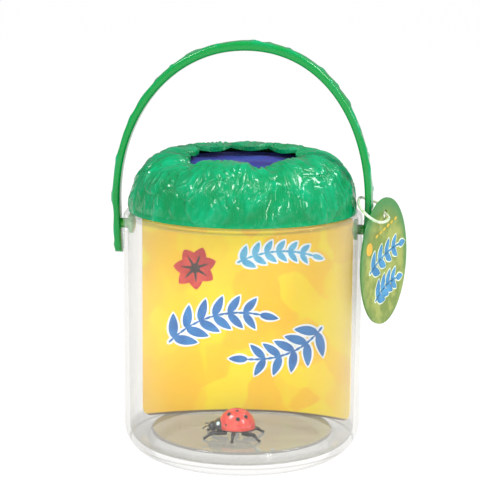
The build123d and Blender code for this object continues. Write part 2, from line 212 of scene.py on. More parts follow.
class Shading:
    """The nodes of a material or a world."""

    def __init__(self, owner):
        owner.use_nodes = True
        self.tree = owner.node_tree

    def fill(self, node, inputs):
        for name, value in inputs.items():
            if isinstance(value, Amount):
                self.tree.links.new(value.socket, node.inputs[name])
            else:
                node.inputs[name].default_value = value

    def node(self, kind, settings, inputs, output=0):
        """Any node: its settings first, then its sockets."""
        made = self.tree.nodes.new(kind)
        for name, value in settings.items():
            setattr(made, name, value)
        self.fill(made, inputs)
        return Amount(self, made.outputs[output])

    def show_mixed(self, share, first, second, old_shader, output):
        """Shows two shaders, mixed by a share, in place of the shader that a new tree starts with."""
        self.tree.nodes.remove(self.tree.nodes[old_shader])
        mixed = self.node("ShaderNodeMixShader", {}, {0: share, 1: first, 2: second})
        self.fill(self.tree.nodes[output], {"Surface": mixed})


class Finish(Shading):
    """A material on one Principled shader, with the constants set on its own sockets."""

    def __init__(self, name, constants):
        self.material = bpy.data.materials.new(name)
        super().__init__(self.material)
        self.shader = self.tree.nodes["Principled BSDF"]
        self.fill(self.shader, constants)

    def set(self, **inputs):
        """Links on the shader, by names such as base_color."""
        self.fill(self.shader, {name.replace("_", " ").title(): value for name, value in inputs.items()})

    def place(self):
        return self.node("ShaderNodeTexCoord", {}, {}, "Object")

    def axes(self, vector=None):
        split = self.node("ShaderNodeSeparateXYZ", {}, {0: vector or self.place()})
        return [Amount(self, socket) for socket in split.socket.node.outputs]

    def noise(self, scale, detail=3, rough=0.5, vector=None, stretch=None):
        vector = vector or self.place()
        if stretch:
            vector = self.node("ShaderNodeMapping", {}, {"Vector": vector, "Scale": stretch})
        return self.node("ShaderNodeTexNoise", {},
                         {"Vector": vector, "Scale": scale, "Detail": detail, "Roughness": rough})

    def blend(self, share, first, second):
        """A colour between two, worked out or given as a screen shows them, by a share from 0 to 1."""
        pair = [part if isinstance(part, Amount) else colour(*part) for part in (first, second)]
        return self.node("ShaderNodeMix", {"data_type": "RGBA"}, {0: share, 6: pair[0], 7: pair[1]}, 2)

    def bump(self, height, distance, strength):
        return self.node("ShaderNodeBump", {}, {"Strength": strength, "Distance": distance, "Height": height})

    def attribute(self, name):
        return self.node("ShaderNodeAttribute", {"attribute_name": name}, {}, "Fac")

    def spotted(self, share, spots, wobble, soft):
        """A share raised to 1 in round spots, whose edges wobble and are soft."""
        for point, size in spots:
            away = self.node("ShaderNodeVectorMath", {"operation": "DISTANCE"},
                             {0: self.place(), 1: point}, "Value")
            share = share.most(1 - (away + wobble).step(size, size + soft))
        return share


def colour(red, green, blue):
    """A colour given as it looks on a screen, from 0 to 255, as Blender's linear one."""
    def linear(part):
        part = part / 255
        return part / 12.92 if part <= 0.04045 else ((part + 0.055) / 1.055) ** 2.4
    return (linear(red), linear(green), linear(blue), 1)


def leaf_plastic():
    """Glossy emerald plastic with a mottled tone, and painted shade: darker in the low bed between the
    leaves, paler where the leaves stand up.
    """
    finish = Finish("leaf_plastic", {"IOR": 1.49, "Coat Roughness": 0.03, "Specular IOR Level": 0.2})
    height = finish.attribute("leaf_height")
    mottle = finish.noise(90, 3, 0.5)
    x, y, z = finish.axes()
    radius = (x * x + y * y) ** 0.5
    around = finish.node("ShaderNodeCombineXYZ", {}, {0: x / radius, 1: y / radius, 2: z * 5})
    wave = finish.noise(26, 3, 0.55, vector=around)
    streaks = 1 - (abs(wave * 2 - 1) * 5).least(1.0)
    # Painted shade: the low bed between the leaves is darkened and the raised leaves are paled; the mottle is
    # the plastic's own varied tone.
    tone = (height * 0.35 + mottle * 0.9 - 0.15).step(0.1, 0.95)
    finish.set(base_color=finish.blend(tone, (0, 124, 68), (0, 156, 106)),
               roughness=finish.noise(260, 2) * 0.1 + 0.16, coat_weight=0.4,
               normal=finish.bump(streaks * 0.8 + finish.noise(420, 3, 0.6) * 0.15, 0.0007, 0.38))
    return finish.material


def handle_plastic():
    """Glossy green plastic with painted shade in the bark's hollows and painted highlights as pale specks on
    its crests.
    """
    finish = Finish("handle_plastic", {"IOR": 1.49, "Coat Roughness": 0.08, "Specular IOR Level": 0.25})
    crest = finish.attribute("bark_height")
    glint_scatter = finish.noise(700, 3, 0.6)
    # Painted shade: darker where the bark is low and paler on its crests, with some noise.
    tone = (crest * 0.9 + finish.noise(160, 2) * 0.6 - 0.2).step(0.1, 0.9)
    base = finish.blend(tone, (0, 134, 56), (0, 148, 96))
    # Painted highlights: pale specks scattered over the bark's crests.
    pale = (crest * 0.8 + glint_scatter * 0.5).step(0.9, 1.1) * 0.4
    finish.set(base_color=finish.blend(pale, base, (190, 235, 215)),
               roughness=finish.noise(300, 2) * 0.12 + 0.18, coat_weight=0.4,
               normal=finish.bump(finish.noise(900, 3, 0.6), 0.0002, 0.3))
    return finish.material


def mottled(name, constants, scale, dark, light, rough, detail=3):
    """A finish in two tones, and the noise that mixes them."""
    finish = Finish(name, constants)
    tone = finish.noise(scale, detail)
    finish.set(base_color=finish.blend(tone.step(0.3, 0.7), dark, light),
               roughness=tone * rough[0] + rough[1])
    return finish, tone


def button_plastic():
    return mottled("button_plastic", {"IOR": 1.49, "Coat Weight": 0.5, "Coat Roughness": 0.06}, 220,
                   (4, 140, 8), (24, 172, 26), (0.1, 0.2))[0].material


def frame_plastic(name, dark, light):
    finish, grain = mottled(name, {"IOR": 1.49}, 500, dark, light, (0.15, 0.35))
    finish.set(normal=finish.bump(grain, 0.0001, 0.3))
    return finish.material


def net_fabric():
    """Fine blue-violet net: threads that cross, with dark gaps between them."""
    finish = Finish("net_fabric", {"Sheen Weight": 0.08, "Sheen Roughness": 0.4, "Specular IOR Level": 0.25})
    x, y = finish.axes()[:2]
    pitch = 0.0007
    across = ((x + y * 0.3) * (2 * pi / pitch)).sine()
    along = ((y - x * 0.3) * (2 * pi / pitch)).sine()
    thread = across.most(along)
    shade = finish.noise(60, 3, 0.5)
    violet = finish.blend(shade.step(0.35, 0.65), (28, 60, 158), (50, 50, 150))
    finish.set(base_color=finish.blend(thread.step(-0.2, 0.7), (14, 24, 80), violet),
               roughness=thread * 0.08 + 0.6, normal=finish.bump(thread, 0.00012, 0.6))
    return finish.material


def clear_plastic():
    """Clear moulded plastic: barely there face on, grey at its edges, milky in the floor with an olive
    painted reflection of the yellow card, and painted shade in a dark ring round the floor and a grey band in
    the gutter.
    """
    finish = Finish("clear_plastic", {"IOR": 1.49, "Roughness": 0.04})
    x, y, z = finish.axes()
    radius = (x * x + y * y) ** 0.5
    facing = finish.node("ShaderNodeLayerWeight", {}, {"Blend": 0.5}, "Facing")

    def past(amount, zone):
        return amount.step(*JAR_ZONES[zone])

    floor_level = past(z, "floor_bottom") * (1 - past(z, "floor_top"))
    on_floor = floor_level * (1 - past(radius, "floor_side"))
    # Painted shade: a dark, denser ring round the floor's edge, where the floor meets the wall.
    rim = floor_level * past(radius, "rim_inside") * (1 - past(radius, "rim_outside"))
    under = (1 - past(z, "under_top")) * (1 - past(radius, "under_side"))
    # Painted shade: the gutter is painted grey and made denser, where the thick double wall looks darker.
    gutter = (past(z, "gutter_bottom") * (1 - past(z, "gutter_top"))
              * past(radius, "gutter_inside") * (1 - past(radius, "gutter_outside")))
    wisp = finish.noise(40, 3, 0.5)
    ripple = finish.noise(150, 3, 0.6, stretch=(0.25, 1, 1))
    # Painted reflection: the olive tint on the floor, with its ripples, stands in for the yellow card
    # mirrored in the floor.
    olive = finish.blend(ripple.step(0.35, 0.65), (88, 84, 42), (134, 130, 82))
    clear = finish.blend(gutter, (206, 205, 200), (158, 158, 150))
    tint = finish.blend(rim, finish.blend(on_floor, clear, olive), (104, 96, 84))
    body = facing ** 2.6 * 0.52 + 0.03 + wisp * 0.03 + gutter * 0.36
    alpha = (body * (1 - under * 0.75)).most(on_floor * 0.72).most(rim * 0.75)
    finish.set(base_color=tint, alpha=alpha.least(1.0), normal=finish.bump(finish.noise(26, 2), 0.0015, 0.12))
    return finish.material


def printed_board():
    """Yellow board printed with soft overlapping brush patches, and a strip of painted shade along its foot.
    """
    finish = Finish("printed_board", {"Specular IOR Level": 0.3})
    drift = finish.node("ShaderNodeTexNoise", {}, {"Vector": finish.place(), "Scale": 45}, "Color")
    wander = finish.node("ShaderNodeVectorMath", {"operation": "MULTIPLY_ADD"},
                         {0: drift, 1: (0.012, 0.012, 0.012), 2: finish.place()})
    patch = finish.node("ShaderNodeTexVoronoi", {"feature": "SMOOTH_F1"},
                        {"Vector": wander, "Scale": 62, "Smoothness": 0.06}, "Color")
    tone = finish.axes(patch)[0]
    dabs = finish.noise(120, 2, 0.5, stretch=(1, 1, 0.35))
    shade = (tone * 0.75 + dabs * 0.5 - 0.12).step(0.1, 0.9)
    base = finish.blend(shade, (254, 198, 0), (255, 226, 0))
    # Painted shade: a dark strip along the card's foot, where it stands on the floor.
    foot = 1 - finish.axes()[2].step(FLOOR + 0.0008, FLOOR + 0.0016)
    base = finish.blend(foot, base, (118, 100, 78))
    finish.set(base_color=base, roughness=dabs * 0.12 + 0.4)
    return finish.material


def plain_ink(name, dark, light):
    return mottled(name, {"Specular IOR Level": 0.3}, 150, dark, light, (0.1, 0.4))[0].material


def wing_paint(spots):
    """Red paint with round black spots, and a dark line where the wing covers meet."""
    finish = Finish("wing_paint", {"Coat Weight": 0.5, "Coat Roughness": 0.1})
    y = finish.axes()[1]
    tone = finish.noise(260, 3)
    base = finish.blend(tone.step(0.3, 0.7), (226, 52, 40), (242, 84, 70))
    parting = 1 - abs(y - BUG_PLACE.y).step(0.0001, 0.0003)
    black = finish.spotted(parting, spots, tone * 0.0006, 0.0003)
    finish.set(base_color=finish.blend(black, base, (30, 18, 18)), roughness=tone * 0.1 + 0.22)
    return finish.material


def bug_black(patches):
    """Black plastic with pale patches."""
    finish = Finish("bug_black", {"Coat Weight": 0.3, "Coat Roughness": 0.15})
    tone = finish.noise(500, 3)
    base = finish.blend(tone.step(0.3, 0.7), (24, 24, 26), (70, 70, 72))
    pale = finish.spotted(tone * 0, patches, tone * 0.0008, 0.0004)
    finish.set(base_color=finish.blend(pale, base, (205, 228, 226)), roughness=tone * 0.2 + 0.25)
    return finish.material


def tag_print():
    """Olive board, greener towards the rim, with soft foliage blots."""
    finish = Finish("tag_print", {"Specular IOR Level": 0.3})
    along = Vector((cos(TAG_TURN), sin(TAG_TURN), 0))
    x, y, z = finish.axes()
    across = (x - TAG_PLACE.x) * along.x + (y - TAG_PLACE.y) * along.y
    rim = ((across / (TAG_WIDTH / 2)) ** 2 + ((z - TAG_PLACE.z) / (TAG_HEIGHT / 2)) ** 2) ** 0.5
    blots = finish.noise(110, 4, 0.55)
    base = finish.blend(blots.step(0.38, 0.62), (106, 128, 48), (146, 156, 76))
    green = ((rim - 0.7) * 2.6 + (z - TAG_PLACE.z) * 12).step(0.1, 1.0)
    finish.set(base_color=finish.blend(green, base, (62, 124, 62)), roughness=blots * 0.15 + 0.35)
    return finish.material


def milky_plastic():
    return mottled("milky_plastic", {"IOR": 1.49, "Subsurface Weight": 0.2}, 400,
                   (178, 190, 152), (208, 216, 190), (0.1, 0.28), 2)[0].material


def paint(piece, material):
    piece.data.materials.clear()
    piece.data.materials.append(material)


# Modelling

def ease(share):
    """From 0 to 1 with no sharp bend at either end."""
    share = share.clip(0, 1)
    return share ** 2 * (3 - 2 * share)


def add_object(name, data):
    made = bpy.data.objects.new(name, data)
    bpy.context.scene.collection.objects.link(made)
    return made


def begin(name):
    """Names the primitive that was just added, with its place in its mesh."""
    piece = bpy.context.object
    piece.name = name
    piece.data.name = name
    bpy.ops.object.transform_apply(location=True, rotation=True, scale=True)
    return piece


def only(piece):
    bpy.ops.object.select_all(action="DESELECT")
    piece.select_set(True)
    bpy.context.view_layer.objects.active = piece


def points_of(piece):
    points = np.empty(len(piece.data.vertices) * 3)
    piece.data.vertices.foreach_get("co", points)
    return points.reshape(-1, 3)


def move_points(piece, points):
    piece.data.vertices.foreach_set("co", np.asarray(points, np.float32).ravel())
    piece.data.update()


def grid(name, columns, rows, place):
    """A grid whose points place(along, across) puts where they belong, both from 0 to 1."""
    bpy.ops.object.select_all(action="DESELECT")
    bpy.ops.mesh.primitive_grid_add(x_subdivisions=columns, y_subdivisions=rows, size=1,
                                    location=(0.5, 0.5, 0))
    piece = begin(name)
    flat = points_of(piece)
    move_points(piece, place(flat[:, 0], flat[:, 1]))
    return piece


def close_seams(piece, gap=2e-6, ends=False):
    """Merges what touches, closes open ends where asked, and turns all faces outwards."""
    only(piece)
    bpy.ops.object.mode_set(mode="EDIT")
    bpy.ops.mesh.select_all(action="SELECT")
    bpy.ops.mesh.remove_doubles(threshold=gap)
    if ends:
        bpy.ops.mesh.select_all(action="DESELECT")
        bpy.ops.mesh.select_non_manifold()
        bpy.ops.mesh.edge_face_add()
        bpy.ops.mesh.select_all(action="SELECT")
    bpy.ops.mesh.normals_make_consistent(inside=False)
    bpy.ops.object.mode_set(mode="OBJECT")


def smooth(piece, angle=40):
    only(piece)
    bpy.ops.object.shade_smooth_by_angle(angle=radians(angle))


def add_modifier(piece, kind, **settings):
    only(piece)
    modifier = piece.modifiers.new(kind.lower(), kind)
    for name, value in settings.items():
        setattr(modifier, name, value)
    bpy.ops.object.modifier_apply(modifier=modifier.name)


def joined(name, pieces):
    bpy.ops.object.select_all(action="DESELECT")
    for piece in pieces:
        piece.select_set(True)
    bpy.context.view_layer.objects.active = pieces[0]
    if len(pieces) > 1:
        bpy.ops.object.join()
    whole = bpy.context.object
    whole.name = name
    return whole


def strand(name, points, sizes, thick, sides, steps):
    """A smooth round strand through points, as thick as its size at each of them."""
    line = bpy.data.curves.new(name, "CURVE")
    line.dimensions = "3D"
    line.bevel_depth = thick
    line.bevel_resolution = sides
    line.resolution_u = steps
    line.use_fill_caps = True
    spline = line.splines.new("NURBS")
    spline.points.add(len(points) - 1)
    for spot, point, size in zip(spline.points, points, sizes):
        spot.co = (*point, 1)
        spot.radius = size
    spline.order_u = 3
    spline.use_endpoint_u = True
    return add_object(name, line)


def store(piece, name, values):
    """Keeps a number at each point, for the piece's material."""
    attribute = piece.data.attributes.new(name, "FLOAT", "POINT")
    attribute.data.foreach_set("value", np.asarray(values, np.float32))


# Lid

def vent_edge(turn):
    """Radius of the vent's leaf-tipped edge, at an angle in radians."""
    angle = np.degrees(turn)
    radius = np.full_like(angle, VENT_NOTCH_RADIUS)
    for start, end in zip(VENT_NOTCHES, VENT_NOTCHES[1:] + [VENT_NOTCHES[0] + 360]):
        share = ((angle - start) % 360) / (end - start)
        bulge = np.sin(pi * share.clip(0, 1)) ** 0.8
        leaf = VENT_NOTCH_RADIUS - (VENT_NOTCH_RADIUS - VENT_TIP_RADIUS) * bulge
        radius = np.where(share < 1, leaf, radius)
    return radius


def lid_profile(turn, down, depth):
    """Radius, height and outward direction on the dome, from the vent's edge (0) to its foot (1)."""
    edge = vent_edge(turn)
    on_lip = (down / LIP_SHARE).clip(0, 1)
    lip_radius = edge + (LID_CREST_RADIUS - edge) * on_lip
    lip_in = LID_CREST_RADIUS - lip_radius
    lip_rise = np.sqrt((LIP_ROUND - depth) ** 2 - lip_in ** 2)
    dome = ((down - LIP_SHARE) / (1 - LIP_SHARE)).clip(0, 1) * pi / 2
    wide = LID_RADIUS - LID_CREST_RADIUS - depth
    high = LID_TOP - LID_BOTTOM - depth
    lip = down < LIP_SHARE
    radius = np.where(lip, lip_radius, LID_CREST_RADIUS + wide * np.sin(dome))
    height = np.where(lip, LID_TOP - LIP_ROUND + lip_rise, LID_BOTTOM + high * np.cos(dome))
    out = np.where(lip, -lip_in / (LIP_ROUND - depth), np.sin(dome) / wide)
    up = np.where(lip, lip_rise / (LIP_ROUND - depth), np.cos(dome) / high)
    length = np.hypot(out, up)
    return radius, height, out / length, up / length


def rim_sink(turn, down):
    """How far the low leaves around the vent lie under the others."""
    angle = np.degrees(turn)
    sink = np.zeros_like(angle)
    for start, end, depth in LOW_LEAVES:
        wide = end - start + 2 * LOW_LEAF_SPARE
        inside = ((angle - start + LOW_LEAF_SPARE) % 360).clip(0, wide)
        sink = np.maximum(sink, depth * ease(np.minimum(inside, wide - inside) / LOW_LEAF_RAMP))
    first, last = LOW_LEAF_REACH
    return sink * (1 - ease((down - first) / (last - first)))


def lip_lift(turn, down):
    """How far the lip's edge is raised at the back."""
    curl = (1 - down / LIP_SHARE).clip(0, 1) ** 2
    return LIP_LIFT * curl * (0.3 + np.sin(turn)).clip(0, 1)


def leaf_places():
    """Turn, slope down the dome, half length, half width, lean and depth of each leaf on the lid."""
    leaves = []
    for i, start in enumerate(VENT_NOTCHES):
        gap = (VENT_NOTCHES[(i + 1) % len(VENT_NOTCHES)] - start) % 360
        half_width = radians(gap) * LID_CREST_RADIUS / 2
        leaves.append((start + gap / 2, RIM_LEAF_SLOPE, RIM_LEAF_HALF, half_width, 0, LEAF_STEP * (i % 2)))
    for row, (slope, count, half_length, half_width, swing) in enumerate(LEAF_RINGS, start=1):
        for i in range(count):
            turn = 360 * (i + row / 3) / count
            depth = row * RING_STEP + LEAF_STEP * (i % 2)
            leaves.append((turn, slope, half_length, half_width, swing * sin(2.4 * i + slope), depth))
    return leaves


def leaf_height(points, down):
    """Height of the leaves at each point of the dome: a blade with a midrib, side veins and soft creases."""
    luck = random.Random(LEAF_LUCK)
    height = np.full(len(points), -LEAF_BED)
    across_dome, rise = LID_RADIUS - LID_CREST_RADIUS, LID_TOP - LID_BOTTOM
    for turn, slope, half_length, half_width, lean, depth in leaf_places():
        turn, slope, lean = radians(turn), radians(slope), radians(lean)
        radius = LID_CREST_RADIUS + across_dome * sin(slope)
        centre = Vector((radius * cos(turn), radius * sin(turn), LID_BOTTOM + rise * cos(slope)))
        out = Vector((sin(slope) / across_dome, 0, cos(slope) / rise)).normalized()
        spin = Matrix.Rotation(turn, 3, "Z")
        away = spin @ out
        down_dome = spin @ Vector((out.z, 0, -out.x))
        along = Matrix.Rotation(lean, 3, away) @ down_dome
        across = away.cross(along)
        offset = points - np.array(centre)
        x, y = offset @ np.array(along), offset @ np.array(across)
        bend = (half_length ** 2 + half_width ** 2) / (2 * half_width)
        width = np.sqrt((bend ** 2 - x ** 2).clip(0)) - (bend - half_width)
        inner = width - np.abs(y)
        near = (np.abs(x) < half_length) & (inner > 0) & (np.abs(offset @ np.array(away)) < LEAF_REACH)
        tip_run = x + half_length
        fan = radians(luck.uniform(20, 34))
        spacing = luck.uniform(0.0085, 0.0125)
        wander = 0.0008 * np.sin(x * luck.uniform(300, 500) + luck.uniform(0, 6))
        phase = (tip_run - np.abs(y + wander) / tan(fan)) / spacing
        phase += 0.22 * np.sin(x * luck.uniform(300, 600) + y * luck.uniform(-500, 500) + luck.uniform(0, 6))
        pads = 1 - np.abs(2 * (phase - np.floor(phase)) - 1) ** 2.2
        fading = 0.45 + 0.55 * np.sin(x * 330 + y * 410 + luck.uniform(0, 6))
        groove = 1 - 0.9 * np.exp(-((y + wander) / 0.0007) ** 2)
        cup = luck.choice([-1, 1, 1]) * luck.uniform(0.0001, 0.0004) * (1 - np.abs(y) / half_width)
        tilt = luck.uniform(-0.0002, 0.0002) * x / half_length
        blade = PAD_HEIGHT * (pads * fading * groove - 0.25) - depth + cup + tilt
        edge = np.sqrt(1 - (1 - (inner / LEAF_EDGE).clip(0, 1)) ** 2)
        height = height + np.where(near, np.maximum(blade - height, 0) * edge, 0)
    height += crease(points, down)
    fade = ((1 - down) / 0.04).clip(0, 1)
    return height.clip(-LEAF_BED, LEAF_TOP) * fade


def crease(points, down):
    """Small soft folds all over the lid, and sharper ones that run down it, which break up its gloss."""
    x, y, z = (points / 0.001).T
    turn = np.arctan2(y, x)
    folds = (np.sin(x * 0.43 + 1.7 * np.sin(z * 0.31 + y * 0.12))
             * np.sin(y * 0.39 + 1.3 * np.sin(z * 0.27 - x * 0.15)))
    fine = np.sin(turn * 43 + 1.5 * np.sin(z * 0.5 + turn * 7)) * np.sin(z * 0.23 + turn * 9)
    run = (turn * 34 + 2.6 * np.sin(turn * 5 + 1) + down * 3.5 * np.sin(turn * 3 + 0.7)
           + 0.9 * np.sin(down * 9 + turn * 11))
    sharp = 1 - 2 * np.abs(np.sin(run)) ** 0.8
    strength = 0.5 + (0.5 * np.sin(turn * 7 + down * 6 + 1.3 * np.sin(turn * 4))
                      * np.sin(down * 7 - turn * 5 + 1))
    return CREASE_HEIGHT * (folds + 0.7 * fine) + FOLD_HEIGHT * 0.5 * sharp * strength


def lid_skin(around, down):
    """Points of the lid's outside, and the height of its relief there."""
    turn = around * 2 * pi
    radius, level, out, up = lid_profile(turn, down, 0)
    points = np.stack([radius * np.cos(turn), radius * np.sin(turn), level], 1)
    outwards = np.stack([out * np.cos(turn), out * np.sin(turn), up], 1)
    height = leaf_height(points, down)
    points[:, 2] += lip_lift(turn, down)
    return points + outwards * (height - rim_sink(turn, down))[:, None], height


def make_lid():
    """The leafy lid: its outside in relief, closed by a plain inside that shares its rims."""
    def outside(around, down):
        points, height = lid_skin(around, down)
        outside.height = (height + LEAF_BED) / (LEAF_TOP + LEAF_BED)
        return points

    def inside(around, down):
        turn = around * 2 * pi
        share = ((down * LID_INNER_ROWS - 1) / (LID_INNER_ROWS - 2)).clip(0, 1)
        radius, height = lid_profile(turn, share, LID_WALL)[:2]
        radius = np.where(height < LID_BORE_TOP, LID_BORE, np.minimum(radius, LID_BORE))
        height = height + lip_lift(turn, share) - np.minimum(rim_sink(turn, share), LOW_LEAF_INSIDE)
        points = np.stack([radius * np.cos(turn), radius * np.sin(turn), height], 1)
        on_rim = (down < 0.01) | (down > 0.99)
        return np.where(on_rim[:, None], lid_skin(around, down)[0], points)

    outer = grid("lid_outside", LID_COLUMNS, LID_ROWS, outside)
    store(outer, "leaf_height", outside.height)
    inner = grid("lid_inside", LID_COLUMNS, LID_INNER_ROWS, inside)
    lid = joined("lid_leaves", [outer, inner])
    close_seams(lid)
    smooth(lid, 50)
    paint(lid, leaf_plastic())
    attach(lid, "lid")
    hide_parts("lid_shell")


# Net, under the vent

def make_net():
    """The slack net: flat in its seat, with soft folds over the opening."""
    middle = (net_low.z + net_high.z) / 2

    def place(around, out):
        turn = around * 2 * pi
        radius = NET_RADIUS * out
        x, y = radius * np.cos(turn), radius * np.sin(turn)
        free = ease((NET_RADIUS - NET_SEAT - radius) / 0.008)
        folds = (np.sin(x * 130 + 1.1 * np.sin(y * 95 + 0.5)) * 0.5
                 + np.sin((x * 0.5 + y) * 190 + 2) * 0.25
                 + np.exp(-((y - 0.35 * x + 0.004) / 0.005) ** 2) * 0.9)
        return np.stack([x, y, middle + NET_SLACK * free * (folds - 0.35)], 1)

    net = grid("vent_net", 120, 50, place)
    close_seams(net)
    add_modifier(net, "SOLIDIFY", thickness=NET_THICK, offset=0)
    smooth(net, 60)
    paint(net, net_fabric())
    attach(net, "vent_insert")
    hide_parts("vent_mesh")


# Handle

def strap_line(along):
    """Inner and outer points of the strap in XZ, from the left tail's tip (0) to the right's (1)."""
    tail = HANDLE_CENTRE - handle_low.z
    arch = 0.5 * pi * (1.5 * (ARM_OUTER + HANDLE_RISE) - sqrt(ARM_OUTER * HANDLE_RISE))
    whole = 2 * tail + arch
    run = along * whole
    left = run < tail
    right = run > tail + arch
    drop = np.where(left, tail - run, np.where(right, run - tail - arch, 0)) / tail
    turn = pi * (1 - ((run - tail) / arch).clip(0, 1))
    sides = np.where(turn > pi / 2, -1, 1)
    lean = ARM_TAIL_LEAN * drop
    lines = []
    flat = sides * np.abs(np.cos(turn)) ** (2 / ARCH_POWER)
    high = np.abs(np.sin(turn)) ** (2 / ARCH_POWER)
    for reach, rise in ((ARM_INNER - STRAP_SWELL, HANDLE_RISE - GRIP_THICK / 2 - STRAP_SWELL),
                        (ARM_OUTER + STRAP_SWELL / 2, HANDLE_RISE + GRIP_THICK / 2)):
        x = np.where(left | right, sides * (reach - lean), reach * flat + STRAP_LEAN * high ** 2)
        z = np.where(left | right, HANDLE_CENTRE - drop * tail, HANDLE_CENTRE + rise * high)
        lines.append((x + STRAP_SHIFT, z))
    from_tip = np.minimum(run, whole - run)
    return lines, from_tip, run


def bark(run, y):
    """Height of the bark, 0 to 1: long low facets with a knot here and there."""
    facets = np.sin(run * 190 + 1.6 * np.sin(y * 420 + run * 90)) + 0.6 * np.sin(run * 410 - y * 500 + 1.3)
    knots = np.zeros_like(run)
    luck = random.Random(BARK_LUCK)
    for _ in range(BARK_KNOTS):
        middle, side = luck.uniform(0, BARK_LENGTH), luck.uniform(-0.5, 0.5) * HANDLE_WIDTH
        long, wide = luck.uniform(0.0012, 0.003), luck.uniform(0.0006, 0.0014)
        knots += np.exp(-((run - middle) / long) ** 2 - ((y - side) / wide) ** 2)
    return (0.35 + 0.14 * facets + 0.5 * knots).clip(0, 1)


def make_handle():
    """The bark-covered strap, and the pins that it turns on."""
    def place(around, along):
        lines, from_tip, run = strap_line(along)
        turn = around * 2 * pi
        share = 0.5 + 0.5 * np.sign(np.cos(turn)) * np.abs(np.cos(turn)) ** 0.5
        side = np.sign(np.sin(turn)) * np.abs(np.sin(turn)) ** 0.5
        half = HANDLE_WIDTH / 2
        round_in = (ARM_TAIL_ROUND - from_tip).clip(0)
        half_here = half - ARM_TAIL_ROUND + np.sqrt(ARM_TAIL_ROUND ** 2 - round_in ** 2)
        y = side * half_here
        height = bark(run, y)
        outer_face = ((share - 0.45) / 0.5).clip(0, 1)
        raised = (height - 0.5) * BARK_HEIGHT * outer_face * (half_here / half)
        (inner_x, inner_z), (outer_x, outer_z) = lines
        across_x, across_z = outer_x - inner_x, outer_z - inner_z
        thick = np.hypot(across_x, across_z)
        x = inner_x + across_x * share + across_x / thick * raised
        z = inner_z + across_z * share + across_z / thick * raised
        place.crest = height * outer_face
        return np.stack([x, y, z], 1)

    strap = grid("handle_strap", HANDLE_COLUMNS, HANDLE_ROWS, place)
    store(strap, "bark_height", place.crest)
    close_seams(strap, ends=True)
    smooth(strap, 50)
    paint(strap, handle_plastic())
    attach(strap, "handle")
    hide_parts("handle")
    pin_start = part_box("pivot_button_right")[1].x - BUTTON_RIM
    pin_end = ARM_INNER + 0.001
    for side, name in ((-1, "pin_left"), (1, "pin_right")):
        bpy.ops.object.select_all(action="DESELECT")
        bpy.ops.mesh.primitive_cylinder_add(vertices=48, radius=PIN_RADIUS, depth=pin_end - pin_start,
                                            location=(side * (pin_start + pin_end) / 2, 0, PIVOT_HEIGHT),
                                            rotation=(0, pi / 2, 0))
        pin = begin(name)
        add_modifier(pin, "BEVEL", width=0.0003, segments=2, limit_method="ANGLE")
        smooth(pin)
        paint(pin, button_plastic())
        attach(pin, "handle")


# Printed card

def card_bend(half, bow):
    """Radius of the arc that one half of the card follows."""
    return (half ** 2 + bow ** 2) / (2 * bow)


def card_point(x, z, lift):
    """A point in front of the bowed card: across it, up, and how far off its face."""
    left, right = card_bend(CARD_HALF, CARD_BOW), card_bend(CARD_RIGHT_HALF, CARD_RIGHT_BOW)
    bend = np.where(np.asarray(x) < 0, left, right)
    radius = bend - CARD_THICK / 2 - lift
    centre_y = CARD_BACK + CARD_BOW - bend
    turn = np.asarray(x) / bend
    flat_x = radius * np.sin(turn) + CARD_SHIFT
    flat_y = centre_y + radius * np.cos(turn)
    return np.stack([flat_x * cos(CARD_TURN) - flat_y * sin(CARD_TURN),
                     flat_x * sin(CARD_TURN) + flat_y * cos(CARD_TURN), z + 0 * flat_x], 1)


def tag_point(x, z, lift):
    """A point in front of the tag's outer face."""
    off = TAG_THICK / 2 + lift
    return np.stack([TAG_PLACE.x + cos(TAG_TURN) * x + sin(TAG_TURN) * off,
                     TAG_PLACE.y + sin(TAG_TURN) * x - cos(TAG_TURN) * off, TAG_PLACE.z + z], 1)


def printed_leaf(surface, root, turn, length, width, layer, grow=0):
    """One leaf of ink on a surface, from its root, grown all round for a border."""
    def place(along, across):
        x = along * (length + 2 * grow) - grow
        half = (width / 2 + grow) * np.sin(pi * along.clip(0, 1) ** 0.8) ** 0.75 + 0.00005
        y = (across * 2 - 1) * half
        flat_x = root[0] + x * cos(turn) - y * sin(turn)
        flat_z = root[1] + x * sin(turn) + y * cos(turn)
        return surface(flat_x, flat_z, layer * PRINT_LIFT)

    return grid("leaf_print", 10, 4, place)


def printed_dot(surface, centre, size, layer):
    def place(along, across):
        turn, out = along * 2 * pi, across * size
        return surface(centre[0] + out * np.cos(turn), centre[1] + out * np.sin(turn), layer * PRINT_LIFT)

    return grid("dot_print", 20, 3, place)


def finish_print(name, shapes, material, body):
    whole = joined(name, shapes)
    close_seams(whole, 1e-6)
    add_modifier(whole, "SOLIDIFY", thickness=PRINT_LIFT * 0.8, offset=-1)
    paint(whole, material)
    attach(whole, body)


